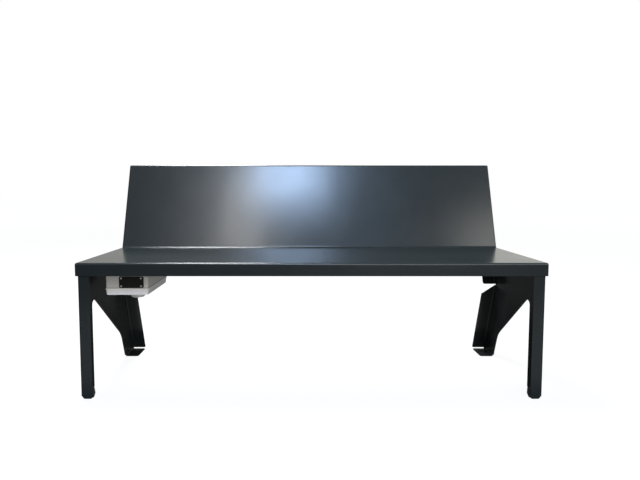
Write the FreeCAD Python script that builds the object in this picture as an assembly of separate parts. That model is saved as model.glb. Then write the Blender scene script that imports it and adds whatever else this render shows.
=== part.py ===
import FreeCAD, Part
import math
import os

# Heated bench: a folded sheet seat and back on two folded legs, with heating mats
# under the sheet and a control box hung below the seat at the left end.
# Millimetres, +X along the bench, +Y to the rear, +Z up, the floor at z = 0.
# The pieces are drawn with y = 0 at the front face and shifted at the end, so that
# the origin lies under the middle of the bench.

Vector = FreeCAD.Vector

# Seat and back shell
bench_length = 1500.0
seat_height = 442.0
seat_depth = 410.0
back_rise = 333.6
back_lean = 18.55
lip_height = 42.0
back_return = 34.0
shell_sheet = 3.0
edge_radius = 6.0
fold_radius = 8.0
corner_radius = 5.0
hollow_overrun = 30.0

# Legs
leg_sheet = 3.0
leg_bend = 3.0
leg_side_gap = 4.0
leg_front_gap = 1.0
front_flange = 38.0
front_leg_depth = 97.0
rear_flange = 51.0
heel_distance = 498.5
heel_lean = 19.65
rear_leg_foot = 103.1
toe_lean = 20.7
opening_height = 315.6
opening_slope = 39.6
opening_radius = 16.0
toe_radius = 100.0
foot_corner_radius = 8.0
front_foot_length = 75.0
front_foot_shoulder = 38.0
front_foot_waist = 27.0
front_foot_tail = 8.0
heel_slit = 7.5
knee_notch_below = 1.2
knee_notch_above = 2.5
knee_chamfer = 38.0
arm_depth = 30.8
arm_top_gap = 90.0
arm_gap = 1.0
top_flange_setback = 38.0

# Leg fastenings
stud_diameter = 8.0
stud_length = 22.0
hole_clearance = 0.4
nut_across_flats = 13.0
nut_height = 6.5
washer_diameter = 16.0
washer_thickness = 1.6
stud_front = 60.0
stud_rear_setback = 42.0
standoff_diameter = 16.0
standoff_bore_depth = 20.0
arm_bolt_low_height = 90.0
arm_bolt_head_gap = 47.0
arm_bolt_length = 20.0
bolt_head_height = 5.3

# Heated panels: rails, mats, insulation and covers
rail_width = 30.0
seat_rail_height = 35.0
back_rail_height = 28.0
rail_sheet = 2.0
rail_end_gap = 4.0
front_rail_setback = 22.0
rear_rail_setback = 92.0
lower_rail_setback = 28.0
upper_rail_setback = 84.0
mat_thickness = 1.5
mat_margin = 6.0
mat_end_gap = 14.0
insulation_thickness = 20.0
cover_sheet = 1.5
cover_overlap = 12.0
cover_screw_count = 5
cover_screw_inset = 60.0
cover_screw_diameter = 4.0
cover_screw_length = 7.0
pan_head_ratio = 2.0
pan_head_height = 2.4
pan_head_round = 1.0
recess_ratio = 0.6
recess_depth = 1.2
sensor_length = 45.0
sensor_diameter = 5.0

# Control box
box_leg_gap = 15.0
box_front = 60.0
box_width = 140.0
box_depth = 220.0
box_height = 52.0
box_wall = 4.0
box_corner_radius = 6.0
least_radius = 1.0
lid_height = 22.0
lid_wall = 3.0
lid_rim = 5.0
lid_rim_proud = 1.5
lid_draft = 1.5
lid_gap = 1.5
gasket_width = 3.0
gasket_groove = 1.5
gasket_proud = 1.2
gasket_clearance = 0.1
gasket_inner_wall = 0.5
lid_boss_diameter = 11.0
lid_boss_inset = 8.0
lid_screw_diameter = 4.0
lid_screw_reach = 14.0
vent_cap_diameter = 62.0
vent_cap_bottom = 46.0
vent_cap_height = 30.0
vent_cap_radius = 8.0
vent_spigot_diameter = 18.0
vent_spigot_reach = 2.0
box_screw_diameter = 5.0
box_screw_inset_x = 24.0
box_screw_inset_y = 12.0
box_nut_across_flats = 8.0
box_nut_height = 4.0

# Entry plate on the front of the box
entry_width = 80.0
entry_height = 37.0
entry_thickness = 3.0
entry_offset_x = 16.0
entry_radius = 4.0
entry_chamfer = 0.6
entry_above_seam = 1.0
entry_window_width = 54.0
entry_window_height = 20.0
entry_screw_spacing_x = 65.0
entry_screw_spacing_z = 26.0
entry_screw_diameter = 3.0
entry_screw_tail = 1.0
entry_gasket = 1.2

# Supply gland at the rear of the box
gland_thread = 20.0
gland_hex = 24.0
gland_hex_height = 6.0
gland_dome_length = 16.0
gland_dome_hex = 9.6
gland_neck = 16.0
gland_neck_length = 8.0
gland_tip = 15.0
gland_bore = 10.0
gland_lock_nut = 5.0
gland_tail = 1.0
gland_clear = 6.0

# Devices on the rail inside the box
din_rail_width = 35.0
din_rail_height = 7.5
din_rail_sheet = 1.0
din_rail_crown = 25.0
din_rail_margin = 5.0
device_width = 86.0
device_height = 44.0
device_gap = 0.5
device_radius = 2.0
vent_slot_count = 8
vent_slot_length = 52.0
vent_slot_width = 3.0
vent_slot_depth = 2.0
wiring_gap = 4.0
thermostat_length = 36.0
breaker_length = 36.0
terminal_length = 38.0
terminal_width = 60.0
terminal_height = 34.0
dial_diameter = 24.0
dial_height = 5.0
dial_round = 1.0
dial_mark_start = 2.4
dial_mark_length = 8.6
dial_mark_width = 1.6
dial_mark_depth = 0.8
dial_shaft = 6.0
dial_shaft_length = 9.0
toggle_drum = 14.0
toggle_width = 22.0
toggle_lever = 6.5
toggle_proud = 1.0
toggle_lever_thickness = 5.0
toggle_pin = 3.0
toggle_tilt = 25.0
moving_gap = 0.4
cut_margin = 1.0

# Leads
lead_diameter = 6.0
lead_pot_length = 26.0
lead_pot_width = 18.0
lead_pot_depth = 14.0
lead_wall_gap = 11.0
lead_radius = 18.0
lead_fold_radius = 30.0
lead_spread = 18.0
lead_depth = 15.0
grommet_flange = 1.5
grommet_lip = 2.0

# Worked-out places
half_length = bench_length / 2.0
lean = math.radians(back_lean)
seat_under = seat_height - shell_sheet
leg_face = half_length - shell_sheet - leg_side_gap
leg_front = shell_sheet + leg_front_gap
bend_outer = leg_bend + leg_sheet
rail_half = leg_face - rear_flange - rail_end_gap
stud_line = leg_face - bend_outer - (rear_flange - bend_outer) / 2.0
back_up = (math.sin(lean), math.cos(lean))
back_rear = (math.cos(lean), -math.sin(lean))
back_length = back_rise / math.cos(lean)
fold_point = (seat_depth, seat_height)
top_flange_end = seat_depth - top_flange_setback
stud_rear = top_flange_end - stud_rear_setback
stud_setbacks = (stud_front, (stud_front + stud_rear) / 2.0, stud_rear)
arm_reach = back_length - arm_top_gap
arm_bolt_heights = (arm_bolt_low_height, arm_reach - arm_bolt_head_gap)
seat_rail_starts = (front_rail_setback, seat_depth - rear_rail_setback)
back_rail_starts = (lower_rail_setback, back_length - upper_rail_setback)
cover_under = seat_under - seat_rail_height - cover_sheet
box_top = cover_under
box_center_x = box_width / 2.0 + box_leg_gap + rear_flange - leg_face
box_seam = box_top - box_height
lid_top = box_seam - lid_gap
lid_bottom = lid_top - lid_height
box_rear = box_front + box_depth
box_center_y = box_front + box_depth / 2.0
depth_overall = seat_depth + back_rise * math.tan(lean) + back_return * math.cos(lean)
center_shift = Vector(0.0, -depth_overall / 2.0, 0.0)


# Small helpers

def along(point, direction, distance):
    return (point[0] + direction[0] * distance, point[1] + direction[1] * distance)


def crossing(point_a, direction_a, point_b, direction_b):
    """Where two lines of one plane meet."""
    turn = direction_a[0] * direction_b[1] - direction_a[1] * direction_b[0]
    gap = (point_b[0] - point_a[0], point_b[1] - point_a[1])
    return along(point_a, direction_a, (gap[0] * direction_b[1] - gap[1] * direction_b[0]) / turn)


def side_plane(x):
    return lambda a, b: Vector(x, a, b)


def plan_plane(z):
    return lambda a, b: Vector(a, b, z)


def front_plane(y):
    return lambda a, b: Vector(a, y, b)


def outline(points, plane):
    """A closed wire through (a, b) corners; a third value rounds that corner."""
    starts = []
    ends = []
    middles = []
    count = len(points)
    for index, corner in enumerate(points):
        here = Vector(corner[0], corner[1], 0.0)
        radius = corner[2] if len(corner) > 2 else 0.0
        if radius <= 0.0:
            starts.append(here)
            ends.append(here)
            middles.append(None)
            continue
        before = points[index - 1]
        after = points[(index + 1) % count]
        to_before = (Vector(before[0], before[1], 0.0) - here).normalize()
        to_after = (Vector(after[0], after[1], 0.0) - here).normalize()
        half = to_before.getAngle(to_after) / 2.0
        reach = radius / math.tan(half)
        starts.append(here + to_before * reach)
        ends.append(here + to_after * reach)
        bisector = (to_before + to_after).normalize()
        middles.append(here + bisector * (radius / math.sin(half) - radius))
    edges = []
    for index in range(count):
        begin = ends[index - 1]
        finish = starts[index]
        if begin.distanceToPoint(finish) > 1e-6:
            edges.append(Part.LineSegment(plane(begin.x, begin.y), plane(finish.x, finish.y)).toShape())
        if middles[index] is not None:
            arc = [plane(p.x, p.y) for p in (starts[index], middles[index], ends[index])]
            edges.append(Part.Arc(*arc).toShape())
    return Part.Wire(Part.__sortEdges__(edges))


def prism(points, plane, direction):
    return Part.Face(outline(points, plane)).extrude(direction)


def block(x0, x1, y0, y1, z0, z1):
    return Part.makeBox(x1 - x0, y1 - y0, z1 - z0, Vector(x0, y0, z0))


def rounded_rectangle(x0, x1, y0, y1, radius):
    return [(x0, y0, radius), (x1, y0, radius), (x1, y1, radius), (x0, y1, radius)]


def rod(base, axis, length, diameter):
    return Part.makeCylinder(diameter / 2.0, length, base, axis)


def tube(base, axis, length, outer, inner):
    return rod(base, axis, length, outer).cut(rod(base, axis, length, inner))


def hexagon(base, axis, length, across_flats):
    start = axis.cross(Vector(1, 0, 0))
    if start.Length < 0.5:
        start = axis.cross(Vector(0, 1, 0))
    start.normalize()
    corner = start * (across_flats / math.sqrt(3.0))
    points = []
    for step in range(7):
        turn = FreeCAD.Rotation(axis, 60.0 * step)
        points.append(base + turn.multVec(corner))
    return Part.Face(Part.makePolygon(points)).extrude(axis * length)


def hex_nut(base, axis, length, across_flats, bore):
    return hexagon(base, axis, length, across_flats).cut(rod(base, axis, length, bore))


def pan_screw(seat, axis, diameter, length):
    """A pan head that seats at a point, with its shank along the axis."""
    head_diameter = diameter * pan_head_ratio
    top = seat - axis * pan_head_height
    head = rod(top, axis, pan_head_height, head_diameter)
    crown = [edge for edge in head.Edges if edge.BoundBox.Center.distanceToPoint(top) < 1e-3]
    head = head.makeFillet(pan_head_round, crown)
    recess = rod(top, axis, recess_depth, diameter * recess_ratio)
    return head.cut(recess).fuse(rod(seat, axis, length, diameter)).removeSplitter()


def gather(solids):
    return Part.makeCompound(solids)


def mirrored(shape):
    return shape.mirror(Vector(0, 0, 0), Vector(1, 0, 0))


# Seat and back shell

def shell_profile(inset, overrun):
    """Side outline of the folded sheet's outside, or of its hollow when inset."""
    top = along(fold_point, back_up, back_length)
    fold = along(fold_point, back_rear, inset)
    fold = crossing(fold, back_up, (0.0, seat_height - inset), (1.0, 0.0))
    head = crossing(fold, back_up, along(top, back_up, -inset), back_rear)
    tail = along(along(top, back_up, -inset), back_rear, back_return + overrun)
    bottom = seat_height - lip_height - overrun
    heel = crossing(tail, back_up, (0.0, bottom), (1.0, 0.0))
    bend = edge_radius - inset
    return [
        (inset, bottom),
        (inset, seat_height - inset, bend),
        (fold[0], fold[1], fold_radius + inset),
        (head[0], head[1], bend),
        tail,
        heel,
    ]


def shell_solid(inset, overrun):
    width = bench_length - 2.0 * inset
    profile = shell_profile(inset, overrun)
    solid = prism(profile, side_plane(-width / 2.0), Vector(width, 0, 0))
    tail = profile[4]
    heel = profile[5]
    rounded = []
    for edge in solid.Edges:
        box = edge.BoundBox
        if box.XLength > 1e-3:
            continue
        on_bottom = box.ZMax < heel[1] + 1e-3
        mid = edge.valueAt((edge.FirstParameter + edge.LastParameter) / 2.0)
        run = (tail[0] - heel[0], tail[1] - heel[1])
        off = (mid.y - heel[0]) * run[1] - (mid.z - heel[1]) * run[0]
        on_rear = abs(off) / math.hypot(*run) < 1e-3
        if not on_bottom and not on_rear:
            rounded.append(edge)
    return solid.makeFillet(edge_radius - inset, rounded)


def seat_back_shell():
    return shell_solid(0.0, 0.0).cut(shell_solid(shell_sheet, hollow_overrun))


# Legs, drawn for the left end and mirrored for the right

def fold_frame(start, end, outward):
    """Axes of a fold: along it, out of the web, and inward across the bench."""
    run = Vector(0, end[0] - start[0], end[1] - start[1])
    length = run.Length
    run.normalize()
    return Vector(-leg_face, start[0], start[1]), run, Vector(0, outward[0], outward[1]), length


def flange(start, end, outward, corners):
    """A bend along an outer fold line and the flat beyond it, by (run, width) corners."""
    origin, run, out, length = fold_frame(start, end, outward)
    inward = Vector(1, 0, 0)

    def section(width, depth):
        return origin + inward * width + out * depth

    diagonal = math.sqrt(0.5)
    middle_outer = bend_outer * (1.0 - diagonal)
    middle_inner = bend_outer - leg_bend * diagonal
    edges = [
        Part.Arc(section(0, -bend_outer), section(middle_outer, -middle_outer), section(bend_outer, 0)),
        Part.LineSegment(section(bend_outer, 0), section(bend_outer, -leg_sheet)),
        Part.Arc(section(bend_outer, -leg_sheet), section(middle_inner, -middle_inner),
                 section(leg_sheet, -bend_outer)),
        Part.LineSegment(section(leg_sheet, -bend_outer), section(0, -bend_outer)),
    ]
    bend = Part.Face(Part.Wire([edge.toShape() for edge in edges])).extrude(run * length)

    def flat_plane(a, b):
        return origin + run * a + inward * b

    flat = prism(corners, flat_plane, out * -leg_sheet)
    return bend.fuse(flat)


def leg_lines():
    """Corner points of the web, as (y, z) pairs by name."""
    heel = math.radians(heel_lean)
    toe = math.radians(toe_lean)
    slope = math.radians(opening_slope)
    points = {}
    points["heel_up"] = (-math.sin(heel), math.cos(heel))
    points["heel_out"] = (math.cos(heel), math.sin(heel))
    points["heel_foot"] = (heel_distance, 0.0)
    points["arm_foot"] = along(fold_point, back_rear, arm_depth)
    points["knee"] = crossing(points["heel_foot"], points["heel_up"], points["arm_foot"], back_up)
    heel_web = along(points["heel_foot"], points["heel_out"], -bend_outer)
    arm_web = along(points["arm_foot"], back_rear, -bend_outer)
    points["knee_web"] = crossing(heel_web, points["heel_up"], arm_web, back_up)
    floor_web = (0.0, bend_outer)
    points["heel_web"] = crossing(heel_web, points["heel_up"], floor_web, (1.0, 0.0))
    toe_foot = (heel_distance - rear_leg_foot, 0.0)
    toe_up = (-math.sin(toe), math.cos(toe))
    points["toe_web"] = crossing(toe_foot, toe_up, floor_web, (1.0, 0.0))
    points["front_foot_start"] = (leg_front + bend_outer + leg_sheet, 0.0)
    points["front_foot_end"] = (points["front_foot_start"][0] + front_foot_length, 0.0)
    apex = (leg_front + front_leg_depth, opening_height)
    points["apex"] = apex
    points["toe_corner"] = crossing(toe_foot, toe_up, apex, (math.cos(slope), -math.sin(slope)))
    arm_front = along(fold_point, back_rear, shell_sheet + arm_gap)
    points["arm_shoulder"] = crossing(arm_front, back_up, (0.0, seat_under - arm_gap), (1.0, 0.0))
    points["arm_head"] = along(arm_front, back_up, arm_reach)
    points["arm_tail"] = along(arm_web, back_up, arm_reach)
    return points


def leg_web(points):
    web_front = leg_front + bend_outer
    web_top = seat_under - bend_outer
    corners = [
        (web_front, bend_outer),
        (web_front, web_top),
        (top_flange_end, web_top),
        (top_flange_end + bend_outer, seat_under - arm_gap),
        points["arm_shoulder"],
        (*points["arm_head"], corner_radius),
        points["arm_tail"],
        points["knee_web"],
        points["heel_web"],
        (*points["toe_web"], foot_corner_radius),
        (*points["toe_corner"], toe_radius),
        (*points["apex"], opening_radius),
        (points["apex"][0], 0.0, leg_bend),
        points["front_foot_end"],
        (points["front_foot_end"][0], bend_outer),
    ]
    return prism(corners, side_plane(-leg_face), Vector(leg_sheet, 0, 0))


def leg_flanges(points):
    flanges = []
    # front face, rounded at both bottom corners
    front_start = (leg_front, foot_corner_radius)
    front_end = (leg_front, seat_under - bend_outer)
    front_run = front_end[1] - front_start[1]
    flanges.append(flange(front_start, front_end, (-1.0, 0.0), [
        (0.0, bend_outer),
        (-foot_corner_radius, bend_outer, foot_corner_radius),
        (-foot_corner_radius, front_flange, foot_corner_radius),
        (front_run, front_flange),
        (front_run, bend_outer),
    ]))
    # top, bolted under the seat
    top_start = (leg_front + bend_outer, seat_under)
    top_end = (top_flange_end, seat_under)
    top_run = top_end[0] - top_start[0]
    flanges.append(flange(top_start, top_end, (0.0, 1.0), [
        (0.0, bend_outer),
        (0.0, rear_flange, corner_radius),
        (top_run, rear_flange, corner_radius),
        (top_run, bend_outer),
    ]))
    # front foot, tapering to the rear, where the web itself reaches the floor
    flanges.append(flange(points["front_foot_start"], points["front_foot_end"], (0.0, -1.0), [
        (0.0, bend_outer),
        (0.0, front_flange, corner_radius),
        (front_foot_shoulder, front_foot_waist),
        (front_foot_length, front_foot_tail),
        (front_foot_length, bend_outer),
    ]))
    # rear foot, square
    toe_start = (points["toe_web"][0] + foot_corner_radius, 0.0)
    toe_end = (points["heel_web"][0], 0.0)
    toe_run = toe_end[0] - toe_start[0]
    flanges.append(flange(toe_start, toe_end, (0.0, -1.0), [
        (0.0, bend_outer),
        (0.0, rear_flange, foot_corner_radius),
        (toe_run, rear_flange, foot_corner_radius),
        (toe_run, bend_outer),
    ]))
    # rear face below the knee, chamfered at its top
    heel_rise = math.cos(math.radians(heel_lean))
    heel_start = along(points["heel_foot"], points["heel_up"], heel_slit / heel_rise)
    heel_end = along(points["knee"], points["heel_up"], -knee_notch_below)
    heel_run = math.dist(heel_start, heel_end)
    flanges.append(flange(heel_start, heel_end, points["heel_out"], [
        (0.0, bend_outer),
        (0.0, rear_flange, corner_radius),
        (heel_run - knee_chamfer, rear_flange),
        (heel_run, bend_outer),
    ]))
    # rear face above the knee, behind the back
    arm_start = along(points["knee"], back_up, knee_notch_above)
    arm_end = along(points["arm_foot"], back_up, arm_reach)
    arm_run = math.dist(arm_start, arm_end)
    flanges.append(flange(arm_start, arm_end, back_rear, [
        (0.0, bend_outer),
        (0.0, rear_flange, foot_corner_radius),
        (arm_run, rear_flange, foot_corner_radius),
        (arm_run, bend_outer),
    ]))
    return flanges


def arm_bolt_points(distance):
    """Places on the arm's bolt lines, a distance behind the back's front face."""
    return [along(along(fold_point, back_rear, distance), back_up, height) for height in arm_bolt_heights]


def left_leg():
    points = leg_lines()
    leg = leg_web(points)
    for piece in leg_flanges(points):
        leg = leg.fuse(piece)
    leg = leg.removeSplitter()
    bore = stud_diameter + hole_clearance
    for setback in stud_setbacks:
        leg = leg.cut(rod(Vector(-stud_line, setback, seat_under - 2.0 * leg_sheet), Vector(0, 0, 1),
                          leg_sheet * 3.0, bore))
    axis = Vector(0, *back_rear)
    for place in arm_bolt_points(arm_depth - 2.0 * leg_sheet):
        leg = leg.cut(rod(Vector(-stud_line, *place), axis, leg_sheet * 3.0, bore))
    return leg


def both_ends(make):
    """The same fastening at the left and right legs."""
    left = make()
    return gather(left + [mirrored(solid) for solid in left])


def seat_studs():
    down = Vector(0, 0, -1)
    return both_ends(lambda: [rod(Vector(-stud_line, y, seat_under), down, stud_length, stud_diameter)
                              for y in stud_setbacks])


def stud_washers():
    down = Vector(0, 0, -1)
    top = seat_under - leg_sheet
    bore = stud_diameter + hole_clearance
    return both_ends(lambda: [tube(Vector(-stud_line, y, top), down, washer_thickness, washer_diameter, bore)
                              for y in stud_setbacks])


def stud_nuts():
    down = Vector(0, 0, -1)
    top = seat_under - leg_sheet - washer_thickness
    bore = stud_diameter + hole_clearance
    return both_ends(lambda: [hex_nut(Vector(-stud_line, y, top), down, nut_height, nut_across_flats, bore)
                              for y in stud_setbacks])


def back_standoffs():
    axis = Vector(0, *back_rear)
    length = arm_depth - leg_sheet - shell_sheet
    bore = stud_diameter + hole_clearance

    def make():
        solids = []
        for place in arm_bolt_points(shell_sheet):
            base = Vector(-stud_line, *place)
            solid = rod(base, axis, length, standoff_diameter)
            hole = rod(base + axis * (length - standoff_bore_depth), axis, standoff_bore_depth, bore)
            solids.append(solid.cut(hole))
        return solids

    return both_ends(make)


def arm_washers():
    axis = Vector(0, *back_rear)
    bore = stud_diameter + hole_clearance
    return both_ends(lambda: [tube(Vector(-stud_line, *place), axis, washer_thickness, washer_diameter, bore)
                              for place in arm_bolt_points(arm_depth)])


def arm_bolts():
    axis = Vector(0, *back_rear)

    def make():
        solids = []
        for place in arm_bolt_points(arm_depth + washer_thickness):
            base = Vector(-stud_line, *place)
            head = hexagon(base, axis, bolt_head_height, nut_across_flats)
            shank = rod(base, axis * -1.0, arm_bolt_length, stud_diameter)
            solids.append(head.fuse(shank).removeSplitter())
        return solids

    return both_ends(make)


# Heated panels: the seat's is laid flat, the back's leans

class Panel:
    """One heated panel: runs go from its front or foot, depths from its sheet towards its cover."""

    def __init__(self, origin, run, depth, rail_starts, rail_height):
        self.origin = origin
        self.run = run
        self.depth = depth
        self.rail_starts = rail_starts
        self.rail_height = rail_height
        self.cover_depth = rail_height + cover_sheet
        self.mat_start = rail_starts[0] + rail_width + mat_margin
        self.mat_end = rail_starts[1] - mat_margin
        self.mat_half = rail_half - mat_end_gap

    def place(self, x, run, depth):
        return self.origin + Vector(x, 0, 0) + self.run * run + self.depth * depth

    def block(self, x0, x1, run0, run1, depth0, depth1):
        corners = [(x0, run0), (x1, run0), (x1, run1), (x0, run1), (x0, run0)]
        face = Part.Face(Part.makePolygon([self.place(x, run, depth0) for x, run in corners]))
        return face.extrude(self.depth * (depth1 - depth0))

    def drill(self, shape, spots, depth0, depth1, diameter):
        for x, run in spots:
            shape = shape.cut(rod(self.place(x, run, depth0), self.depth, depth1 - depth0, diameter))
        return shape

    def screw_spots(self, start):
        """Cover screws along the rail that starts at a given run."""
        span = 2.0 * (rail_half - cover_screw_inset)
        step = span / (cover_screw_count - 1)
        first = -rail_half + cover_screw_inset
        return [(first + step * index, start + rail_width / 2.0) for index in range(cover_screw_count)]

    def rail(self, number):
        """A C rail welded to the sheet, drilled for the cover's screws."""
        start = self.rail_starts[number]
        end = start + rail_width
        inner_face = self.rail_height - rail_sheet
        web = self.block(-rail_half, rail_half, start, start + rail_sheet, 0.0, self.rail_height)
        welded = self.block(-rail_half, rail_half, start, end, 0.0, rail_sheet)
        drilled = self.block(-rail_half, rail_half, start, end, inner_face, self.rail_height)
        rail = web.fuse([welded, drilled]).removeSplitter()
        bore = cover_screw_diameter + hole_clearance
        return self.drill(rail, self.screw_spots(start), inner_face, self.rail_height, bore)

    def mat(self):
        return self.block(-self.mat_half, self.mat_half, self.mat_start, self.mat_end, 0.0, mat_thickness)

    def insulation(self):
        return self.block(-self.mat_half, self.mat_half, self.mat_start, self.mat_end, mat_thickness,
                          mat_thickness + insulation_thickness)

    def cover(self):
        first = self.rail_starts[0] - cover_overlap
        last = self.rail_starts[1] + rail_width + cover_overlap
        cover = self.block(-rail_half, rail_half, first, last, self.rail_height, self.cover_depth)
        bore = cover_screw_diameter + hole_clearance
        for start in self.rail_starts:
            cover = self.drill(cover, self.screw_spots(start), self.rail_height, self.cover_depth, bore)
        return cover

    def cover_screws(self):
        screws = []
        for start in self.rail_starts:
            for x, run in self.screw_spots(start):
                seat = self.place(x, run, self.cover_depth)
                screws.append(pan_screw(seat, self.depth * -1.0, cover_screw_diameter, cover_screw_length))
        return gather(screws)


back_up_axis = Vector(0, *back_up)
back_rear_axis = Vector(0, *back_rear)
back_foot = Vector(0, *along(fold_point, back_rear, shell_sheet))
seat_edge = Vector(0, 0, seat_under)
seat_panel = Panel(seat_edge, Vector(0, 1, 0), Vector(0, 0, -1), seat_rail_starts, seat_rail_height)
back_panel = Panel(back_foot, back_up_axis, back_rear_axis, back_rail_starts, back_rail_height)


# Places of the leads

breaker_front = box_front + box_wall + 2.0 * din_rail_margin
thermostat_front = breaker_front + breaker_length + device_gap
supply_front = thermostat_front + thermostat_length + device_gap
gland_room = gland_lock_nut + gland_tail + gland_clear
terminal_front = box_rear - box_wall - gland_room - terminal_length
supply_length = terminal_front - wiring_gap - supply_front
seat_lead_y = terminal_front + terminal_length / 2.0 - lead_spread / 2.0
back_lead_y = seat_lead_y + lead_spread
lead_x = box_center_x - box_width / 2.0 + box_wall + lead_wall_gap
lead_end_x = box_center_x - terminal_width / 2.0
terminal_top = box_top - box_wall - din_rail_height
lead_end_z = terminal_top - terminal_height / 2.0
grommet_bore = lead_diameter + 2.0 * grommet_lip
lead_run_z = seat_under - lead_depth
back_pot_run = back_panel.mat_start + lead_pot_length
back_lead_depth = rail_sheet + grommet_bore / 2.0 + grommet_lip + hole_clearance


def grommet_places():
    return [(lead_x, seat_lead_y), (lead_x, back_lead_y)]


def pipe(points, bends, diameter):
    """A round lead along straight runs joined by tangent arcs, one radius for each corner."""
    edges = []
    begin = points[0]
    for index in range(1, len(points) - 1):
        here = points[index]
        back = (points[index - 1] - here).normalize()
        ahead = (points[index + 1] - here).normalize()
        half = back.getAngle(ahead) / 2.0
        bend = bends[index - 1]
        reach = bend / math.tan(half)
        middle = here + (back + ahead).normalize() * (bend / math.sin(half) - bend)
        edges.append(Part.LineSegment(begin, here + back * reach).toShape())
        edges.append(Part.Arc(here + back * reach, middle, here + ahead * reach).toShape())
        begin = here + ahead * reach
    edges.append(Part.LineSegment(begin, points[-1]).toShape())
    path = Part.Wire(edges)
    start = (points[1] - points[0]).normalize()
    circle = Part.Wire(Part.makeCircle(diameter / 2.0, points[0], start))
    lead = path.makePipeShell([circle], True, False)
    print("lead length", round(path.Length, 1), "volume", round(lead.Volume, 1))
    return lead


def seat_lead_points():
    pot_depth = mat_thickness + lead_pot_depth
    return [
        Vector(lead_x, seat_lead_y, seat_under - pot_depth),
        Vector(lead_x, seat_lead_y, lead_end_z),
        Vector(lead_end_x, seat_lead_y, lead_end_z),
    ]


def back_lead_points():
    pot = back_panel.place(lead_x, back_pot_run, back_lead_depth)
    foot = pot + back_up_axis * ((lead_run_z - pot.z) / back_up_axis.z)
    return [
        pot,
        foot,
        Vector(lead_x, back_lead_y, lead_run_z),
        Vector(lead_x, back_lead_y, lead_end_z),
        Vector(lead_end_x, back_lead_y, lead_end_z),
    ]


seat_lead_bends = (lead_radius,)
back_lead_bends = (lead_fold_radius, lead_radius, lead_radius)


def seat_lead():
    return pipe(seat_lead_points(), seat_lead_bends, lead_diameter)


def back_lead():
    return pipe(back_lead_points(), back_lead_bends, lead_diameter)


def seat_mat_pot():
    half = lead_pot_width / 2.0
    return seat_panel.block(lead_x - half, lead_x + half, seat_lead_y - half, seat_lead_y + half,
                            mat_thickness, mat_thickness + lead_pot_depth)


def back_mat_pot():
    half = lead_pot_width / 2.0
    return back_panel.block(lead_x - half, lead_x + half, back_pot_run, back_pot_run + lead_pot_length,
                            mat_thickness, mat_thickness + lead_pot_depth)


sensor_run = (seat_panel.mat_start + seat_panel.mat_end) / 2.0
sensor_depth = mat_thickness + sensor_diameter / 2.0


def temperature_sensor():
    """A rod along the bench, in the insulation against the mat."""
    start = seat_panel.place(-sensor_length / 2.0, sensor_run, sensor_depth)
    return rod(start, Vector(1, 0, 0), sensor_length, sensor_diameter)


def seat_insulation():
    half = sensor_diameter / 2.0 + moving_gap
    end = sensor_length / 2.0 + moving_gap
    pocket = seat_panel.block(-end, end, sensor_run - half, sensor_run + half, 0.0, sensor_depth + half)
    pot = lead_pot_width / 2.0 + moving_gap
    pot_room = seat_panel.block(lead_x - pot, lead_x + pot, seat_lead_y - pot, seat_lead_y + pot,
                                0.0, seat_rail_height)
    lead = lead_diameter / 2.0 + grommet_lip
    channel = seat_panel.block(lead_x - lead, lead_x + lead, seat_lead_y, seat_rail_starts[1],
                               lead_depth - lead, seat_rail_height)
    return seat_panel.insulation().cut([pocket, pot_room, channel])


def back_insulation():
    half = lead_pot_width / 2.0 + moving_gap
    room = back_panel.block(lead_x - half, lead_x + half, 0.0, back_pot_run + lead_pot_length + moving_gap,
                            0.0, back_rail_height)
    return back_panel.insulation().cut(room)


def rear_seat_rail():
    spot = seat_panel.place(lead_x, seat_rail_starts[1] - rail_sheet, lead_depth)
    return seat_panel.rail(1).cut(rod(spot, seat_panel.run, 3.0 * rail_sheet, grommet_bore))


def lower_back_rail():
    spot = back_panel.place(lead_x, back_rail_starts[0] - rail_sheet, back_lead_depth)
    return back_panel.rail(0).cut(rod(spot, back_panel.run, 3.0 * rail_sheet, grommet_bore))


def ring_grommet(base, axis, wall):
    """A rubber ring in a sheet: a lip on each side of the wall."""
    bore = lead_diameter + hole_clearance
    barrel = tube(base, axis, wall, grommet_bore - hole_clearance, bore)
    near = tube(base - axis * grommet_flange, axis, grommet_flange, grommet_bore + 2.0 * grommet_lip, bore)
    far = tube(base + axis * wall, axis, grommet_flange, grommet_bore + 2.0 * grommet_lip, bore)
    return barrel.fuse([near, far]).removeSplitter()


def box_grommets():
    """One ring for each lead, through the bottom cover and the box roof together."""
    wall = cover_sheet + box_wall
    return gather([ring_grommet(Vector(x, y, box_top - box_wall), Vector(0, 0, 1), wall)
                   for x, y in grommet_places()])


def rail_grommets():
    seat_spot = seat_panel.place(lead_x, seat_rail_starts[1], lead_depth)
    back_spot = back_panel.place(lead_x, back_rail_starts[0], back_lead_depth)
    return gather([
        ring_grommet(seat_spot, seat_panel.run, rail_sheet),
        ring_grommet(back_spot, back_panel.run, rail_sheet),
    ])


def bottom_cover():
    cover = seat_panel.cover()
    for x, y in grommet_places():
        cover = cover.cut(rod(Vector(x, y, cover_under), Vector(0, 0, 1), cover_sheet, grommet_bore))
    for x, y in box_screw_places():
        cover = cover.cut(rod(Vector(x, y, cover_under), Vector(0, 0, 1), cover_sheet,
                              box_screw_diameter + hole_clearance))
    return cover


# Control box

def box_screw_places():
    half_x = box_width / 2.0 - box_screw_inset_x
    half_y = box_depth / 2.0 - box_screw_inset_y
    return [(box_center_x + sx * half_x, box_center_y + sy * half_y) for sx in (-1, 1) for sy in (-1, 1)]


def lid_screw_places():
    half_x = box_width / 2.0 - lid_boss_inset
    half_y = box_depth / 2.0 - lid_boss_inset
    return [(box_center_x + sx * half_x, box_center_y + sy * half_y) for sx in (-1, 1) for sy in (-1, 1)]


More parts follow.
